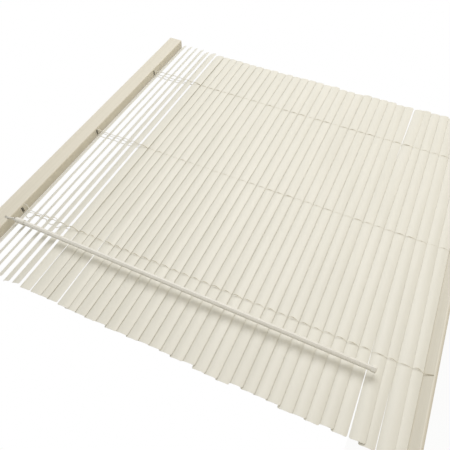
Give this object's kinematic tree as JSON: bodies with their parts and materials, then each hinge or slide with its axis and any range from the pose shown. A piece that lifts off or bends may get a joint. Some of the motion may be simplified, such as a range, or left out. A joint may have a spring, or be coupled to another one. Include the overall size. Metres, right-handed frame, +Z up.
{
  "type": "vinyl mini blind",
  "caption": "Cordless horizontal mini blind: crowned cream vinyl slats on cord ladders under an open-topped headrail, tilted together by a hanging wand, with a weighted bottom rail.",
  "frame": {"origin": "middle of the headrail's flat back face, which lies against the window frame", "axes": "+X along the slats with the wand at -X, -Y towards the room, +Z up as it hangs"},
  "size_m": [0.864, 0.0382, 0.8899],
  "materials": {
    "slat_vinyl": "satin, soft sheen",
    "rail_vinyl": "satin extruded vinyl",
    "cap_plastic": "moulded, fine satin",
    "mechanism_plastic": "moulded acetal",
    "rod_steel": "zinc plated",
    "hook_steel": "bright plated wire",
    "wand_plastic": "pale styrene, glossy",
    "cord_polyester": "braided polyester"
  },
  "bodies": {
    "headrail": {"headrail": "rail_vinyl", "end_cap_left": "cap_plastic", "end_cap_right": "cap_plastic", "cradles": "mechanism_plastic", "tilter_housing": "mechanism_plastic", "lift_spring_unit": "mechanism_plastic", "lift_cords": "cord_polyester", "ladder_left": "cord_polyester", "ladder_middle": "cord_polyester", "ladder_right": "cord_polyester"},
    "tilt_shaft": {"tilt_rod": "rod_steel", "ladder_drums": "mechanism_plastic", "tilter_gear": "mechanism_plastic"},
    "tilter_stem": {"tilter_worm": "mechanism_plastic"},
    "wand_sleeve": {"wand_sleeve": "wand_plastic"},
    "wand": {"wand": "wand_plastic", "wand_hook": "hook_steel", "wand_tip": "wand_plastic"},
    "bottom_rail": {"bottom_rail": "rail_vinyl", "bottom_rail_caps": "cap_plastic", "cord_buttons": "cap_plastic"},
    "slat_01": {"slat_01": "slat_vinyl"},
    "slat_02": {"slat_02": "slat_vinyl"},
    "slat_03": {"slat_03": "slat_vinyl"},
    "slat_04": {"slat_04": "slat_vinyl"},
    "slat_05": {"slat_05": "slat_vinyl"},
    "slat_06": {"slat_06": "slat_vinyl"},
    "slat_07": {"slat_07": "slat_vinyl"},
    "slat_08": {"slat_08": "slat_vinyl"},
    "slat_09": {"slat_09": "slat_vinyl"},
    "slat_10": {"slat_10": "slat_vinyl"},
    "slat_11": {"slat_11": "slat_vinyl"},
    "slat_12": {"slat_12": "slat_vinyl"},
    "slat_13": {"slat_13": "slat_vinyl"},
    "slat_14": {"slat_14": "slat_vinyl"},
    "slat_15": {"slat_15": "slat_vinyl"},
    "slat_16": {"slat_16": "slat_vinyl"},
    "slat_17": {"slat_17": "slat_vinyl"},
    "slat_18": {"slat_18": "slat_vinyl"},
    "slat_19": {"slat_19": "slat_vinyl"},
    "slat_20": {"slat_20": "slat_vinyl"},
    "slat_21": {"slat_21": "slat_vinyl"},
    "slat_22": {"slat_22": "slat_vinyl"},
    "slat_23": {"slat_23": "slat_vinyl"},
    "slat_24": {"slat_24": "slat_vinyl"},
    "slat_25": {"slat_25": "slat_vinyl"},
    "slat_26": {"slat_26": "slat_vinyl"},
    "slat_27": {"slat_27": "slat_vinyl"},
    "slat_28": {"slat_28": "slat_vinyl"},
    "slat_29": {"slat_29": "slat_vinyl"},
    "slat_30": {"slat_30": "slat_vinyl"},
    "slat_31": {"slat_31": "slat_vinyl"},
    "slat_32": {"slat_32": "slat_vinyl"},
    "slat_33": {"slat_33": "slat_vinyl"},
    "slat_34": {"slat_34": "slat_vinyl"},
    "slat_35": {"slat_35": "slat_vinyl"},
    "slat_36": {"slat_36": "slat_vinyl"},
    "slat_37": {"slat_37": "slat_vinyl"},
    "slat_38": {"slat_38": "slat_vinyl"},
    "slat_39": {"slat_39": "slat_vinyl"}
  },
  "joints": [
    {"name": "tilt", "type": "hinge", "parent": "headrail", "child": "tilt_shaft", "pos_m": [0, -0.013, -0.001], "axis": [1, 0, 0], "range_deg": [-195, 0], "deforming": ["ladder_left", "ladder_middle", "ladder_right", "lift_cords"]},
    {"name": "stem_spin", "type": "hinge", "parent": "headrail", "child": "tilter_stem", "pos_m": [-0.3095, -0.01995, 0.00153], "axis": [0, -0.342, -0.9397], "range_deg": [-2340, 0]},
    {"name": "wand_swing", "type": "hinge", "parent": "headrail", "child": "wand_sleeve", "pos_m": [-0.3095, -0.03227, -0.0323], "axis": [1, 0, 0], "range_deg": [-60, 0]},
    {"name": "wand_spin", "type": "hinge", "parent": "wand_sleeve", "child": "wand", "pos_m": [-0.3095, -0.03227, -0.0323], "axis": [0, 0, -1], "range_deg": [-2340, 0]},
    {"name": "bottom_rail_tilt", "type": "hinge", "parent": "headrail", "child": "bottom_rail", "pos_m": [0, -0.013, -0.8609], "axis": [1, 0, 0], "range_deg": [-100, 0]},
    {"name": "slat_01_tilt", "type": "hinge", "parent": "headrail", "child": "slat_01", "pos_m": [0, -0.013, -0.0305], "axis": [1, 0, 0], "range_deg": [-96, 0]},
    {"name": "slat_02_tilt", "type": "hinge", "parent": "headrail", "child": "slat_02", "pos_m": [0, -0.013, -0.0488], "axis": [1, 0, 0], "range_deg": [-94, 0]},
    {"name": "slat_03_tilt", "type": "hinge", "parent": "headrail", "child": "slat_03", "pos_m": [0, -0.013, -0.0671], "axis": [1, 0, 0], "range_deg": [-94, 0]},
    {"name": "slat_04_tilt", "type": "hinge", "parent": "headrail", "child": "slat_04", "pos_m": [0, -0.013, -0.0854], "axis": [1, 0, 0], "range_deg": [-100, 0]},
    {"name": "slat_05_tilt", "type": "hinge", "parent": "headrail", "child": "slat_05", "pos_m": [0, -0.013, -0.1037], "axis": [1, 0, 0], "range_deg": [-110, 0]},
    {"name": "slat_06_tilt", "type": "hinge", "parent": "headrail", "child": "slat_06", "pos_m": [0, -0.013, -0.122], "axis": [1, 0, 0], "range_deg": [-124, 0]},
    {"name": "slat_07_tilt", "type": "hinge", "parent": "headrail", "child": "slat_07", "pos_m": [0, -0.013, -0.1403], "axis": [1, 0, 0], "range_deg": [-150, 0]},
    {"name": "slat_08_tilt", "type": "hinge", "parent": "headrail", "child": "slat_08", "pos_m": [0, -0.013, -0.1621], "axis": [1, 0, 0], "range_deg": [-158, 0]},
    {"name": "slat_09_tilt", "type": "hinge", "parent": "headrail", "child": "slat_09", "pos_m": [0, -0.013, -0.1839], "axis": [1, 0, 0], "range_deg": [-160, 0]},
    {"name": "slat_10_tilt", "type": "hinge", "parent": "headrail", "child": "slat_10", "pos_m": [0, -0.013, -0.2057], "axis": [1, 0, 0], "range_deg": [-160, 0]},
    {"name": "slat_11_tilt", "type": "hinge", "parent": "headrail", "child": "slat_11", "pos_m": [0, -0.013, -0.2275], "axis": [1, 0, 0], "range_deg": [-160, 0]},
    {"name": "slat_12_tilt", "type": "hinge", "parent": "headrail", "child": "slat_12", "pos_m": [0, -0.013, -0.2493], "axis": [1, 0, 0], "range_deg": [-160, 0]},
    {"name": "slat_13_tilt", "type": "hinge", "parent": "headrail", "child": "slat_13", "pos_m": [0, -0.013, -0.2711], "axis": [1, 0, 0], "range_deg": [-160, 0]},
    {"name": "slat_14_tilt", "type": "hinge", "parent": "headrail", "child": "slat_14", "pos_m": [0, -0.013, -0.2929], "axis": [1, 0, 0], "range_deg": [-160, 0]},
    {"name": "slat_15_tilt", "type": "hinge", "parent": "headrail", "child": "slat_15", "pos_m": [0, -0.013, -0.3147], "axis": [1, 0, 0], "range_deg": [-160, 0]},
    {"name": "slat_16_tilt", "type": "hinge", "parent": "headrail", "child": "slat_16", "pos_m": [0, -0.013, -0.3365], "axis": [1, 0, 0], "range_deg": [-160, 0]},
    {"name": "slat_17_tilt", "type": "hinge", "parent": "headrail", "child": "slat_17", "pos_m": [0, -0.013, -0.3583], "axis": [1, 0, 0], "range_deg": [-160, 0]},
    {"name": "slat_18_tilt", "type": "hinge", "parent": "headrail", "child": "slat_18", "pos_m": [0, -0.013, -0.3801], "axis": [1, 0, 0], "range_deg": [-160, 0]},
    {"name": "slat_19_tilt", "type": "hinge", "parent": "headrail", "child": "slat_19", "pos_m": [0, -0.013, -0.4019], "axis": [1, 0, 0], "range_deg": [-160, 0]},
    {"name": "slat_20_tilt", "type": "hinge", "parent": "headrail", "child": "slat_20", "pos_m": [0, -0.013, -0.4237], "axis": [1, 0, 0], "range_deg": [-160, 0]},
    {"name": "slat_21_tilt", "type": "hinge", "parent": "headrail", "child": "slat_21", "pos_m": [0, -0.013, -0.4455], "axis": [1, 0, 0], "range_deg": [-160, 0]},
    {"name": "slat_22_tilt", "type": "hinge", "parent": "headrail", "child": "slat_22", "pos_m": [0, -0.013, -0.4673], "axis": [1, 0, 0], "range_deg": [-160, 0]},
    {"name": "slat_23_tilt", "type": "hinge", "parent": "headrail", "child": "slat_23", "pos_m": [0, -0.013, -0.4891], "axis": [1, 0, 0], "range_deg": [-160, 0]},
    {"name": "slat_24_tilt", "type": "hinge", "parent": "headrail", "child": "slat_24", "pos_m": [0, -0.013, -0.5109], "axis": [1, 0, 0], "range_deg": [-160, 0]},
    {"name": "slat_25_tilt", "type": "hinge", "parent": "headrail", "child": "slat_25", "pos_m": [0, -0.013, -0.5327], "axis": [1, 0, 0], "range_deg": [-160, 0]},
    {"name": "slat_26_tilt", "type": "hinge", "parent": "headrail", "child": "slat_26", "pos_m": [0, -0.013, -0.5545], "axis": [1, 0, 0], "range_deg": [-160, 0]},
    {"name": "slat_27_tilt", "type": "hinge", "parent": "headrail", "child": "slat_27", "pos_m": [0, -0.013, -0.5763], "axis": [1, 0, 0], "range_deg": [-160, 0]},
    {"name": "slat_28_tilt", "type": "hinge", "parent": "headrail", "child": "slat_28", "pos_m": [0, -0.013, -0.5981], "axis": [1, 0, 0], "range_deg": [-160, 0]},
    {"name": "slat_29_tilt", "type": "hinge", "parent": "headrail", "child": "slat_29", "pos_m": [0, -0.013, -0.6199], "axis": [1, 0, 0], "range_deg": [-160, 0]},
    {"name": "slat_30_tilt", "type": "hinge", "parent": "headrail", "child": "slat_30", "pos_m": [0, -0.013, -0.6417], "axis": [1, 0, 0], "range_deg": [-160, 0]},
    {"name": "slat_31_tilt", "type": "hinge", "parent": "headrail", "child": "slat_31", "pos_m": [0, -0.013, -0.6635], "axis": [1, 0, 0], "range_deg": [-160, 0]},
    {"name": "slat_32_tilt", "type": "hinge", "parent": "headrail", "child": "slat_32", "pos_m": [0, -0.013, -0.6853], "axis": [1, 0, 0], "range_deg": [-160, 0]},
    {"name": "slat_33_tilt", "type": "hinge", "parent": "headrail", "child": "slat_33", "pos_m": [0, -0.013, -0.7071], "axis": [1, 0, 0], "range_deg": [-160, 0]},
    {"name": "slat_34_tilt", "type": "hinge", "parent": "headrail", "child": "slat_34", "pos_m": [0, -0.013, -0.7289], "axis": [1, 0, 0], "range_deg": [-160, 0]},
    {"name": "slat_35_tilt", "type": "hinge", "parent": "headrail", "child": "slat_35", "pos_m": [0, -0.013, -0.7507], "axis": [1, 0, 0], "range_deg": [-160, 0]},
    {"name": "slat_36_tilt", "type": "hinge", "parent": "headrail", "child": "slat_36", "pos_m": [0, -0.013, -0.7725], "axis": [1, 0, 0], "range_deg": [-160, 0]},
    {"name": "slat_37_tilt", "type": "hinge", "parent": "headrail", "child": "slat_37", "pos_m": [0, -0.013, -0.7943], "axis": [1, 0, 0], "range_deg": [-160, 0]},
    {"name": "slat_38_tilt", "type": "hinge", "parent": "headrail", "child": "slat_38", "pos_m": [0, -0.013, -0.8161], "axis": [1, 0, 0], "range_deg": [-160, 0]},
    {"name": "slat_39_tilt", "type": "hinge", "parent": "headrail", "child": "slat_39", "pos_m": [0, -0.013, -0.8379], "axis": [1, 0, 0], "range_deg": [-160, 0]}
  ],
  "couplings": [
    {"joint": "stem_spin", "follows": "tilt", "ratio": 12},
    {"joint": "wand_spin", "follows": "tilt", "ratio": 12},
    {"joint": "bottom_rail_tilt", "follows": "tilt", "ratio": 0.51282},
    {"joint": "slat_01_tilt", "follows": "tilt", "ratio": 0.49231},
    {"joint": "slat_02_tilt", "follows": "tilt", "ratio": 0.48205},
    {"joint": "slat_03_tilt", "follows": "tilt", "ratio": 0.48205},
    {"joint": "slat_04_tilt", "follows": "tilt", "ratio": 0.51282},
    {"joint": "slat_05_tilt", "follows": "tilt", "ratio": 0.5641},
    {"joint": "slat_06_tilt", "follows": "tilt", "ratio": 0.6359},
    {"joint": "slat_07_tilt", "follows": "tilt", "ratio": 0.76923},
    {"joint": "slat_08_tilt", "follows": "tilt", "ratio": 0.81026},
    {"joint": "slat_09_tilt", "follows": "tilt", "ratio": 0.82051},
    {"joint": "slat_10_tilt", "follows": "tilt", "ratio": 0.82051},
    {"joint": "slat_11_tilt", "follows": "tilt", "ratio": 0.82051},
    {"joint": "slat_12_tilt", "follows": "tilt", "ratio": 0.82051},
    {"joint": "slat_13_tilt", "follows": "tilt", "ratio": 0.82051},
    {"joint": "slat_14_tilt", "follows": "tilt", "ratio": 0.82051},
    {"joint": "slat_15_tilt", "follows": "tilt", "ratio": 0.82051},
    {"joint": "slat_16_tilt", "follows": "tilt", "ratio": 0.82051},
    {"joint": "slat_17_tilt", "follows": "tilt", "ratio": 0.82051},
    {"joint": "slat_18_tilt", "follows": "tilt", "ratio": 0.82051},
    {"joint": "slat_19_tilt", "follows": "tilt", "ratio": 0.82051},
    {"joint": "slat_20_tilt", "follows": "tilt", "ratio": 0.82051},
    {"joint": "slat_21_tilt", "follows": "tilt", "ratio": 0.82051},
    {"joint": "slat_22_tilt", "follows": "tilt", "ratio": 0.82051},
    {"joint": "slat_23_tilt", "follows": "tilt", "ratio": 0.82051},
    {"joint": "slat_24_tilt", "follows": "tilt", "ratio": 0.82051},
    {"joint": "slat_25_tilt", "follows": "tilt", "ratio": 0.82051},
    {"joint": "slat_26_tilt", "follows": "tilt", "ratio": 0.82051},
    {"joint": "slat_27_tilt", "follows": "tilt", "ratio": 0.82051},
    {"joint": "slat_28_tilt", "follows": "tilt", "ratio": 0.82051},
    {"joint": "slat_29_tilt", "follows": "tilt", "ratio": 0.82051},
    {"joint": "slat_30_tilt", "follows": "tilt", "ratio": 0.82051},
    {"joint": "slat_31_tilt", "follows": "tilt", "ratio": 0.82051},
    {"joint": "slat_32_tilt", "follows": "tilt", "ratio": 0.82051},
    {"joint": "slat_33_tilt", "follows": "tilt", "ratio": 0.82051},
    {"joint": "slat_34_tilt", "follows": "tilt", "ratio": 0.82051},
    {"joint": "slat_35_tilt", "follows": "tilt", "ratio": 0.82051},
    {"joint": "slat_36_tilt", "follows": "tilt", "ratio": 0.82051},
    {"joint": "slat_37_tilt", "follows": "tilt", "ratio": 0.82051},
    {"joint": "slat_38_tilt", "follows": "tilt", "ratio": 0.82051},
    {"joint": "slat_39_tilt", "follows": "tilt", "ratio": 0.82051}
  ]
}
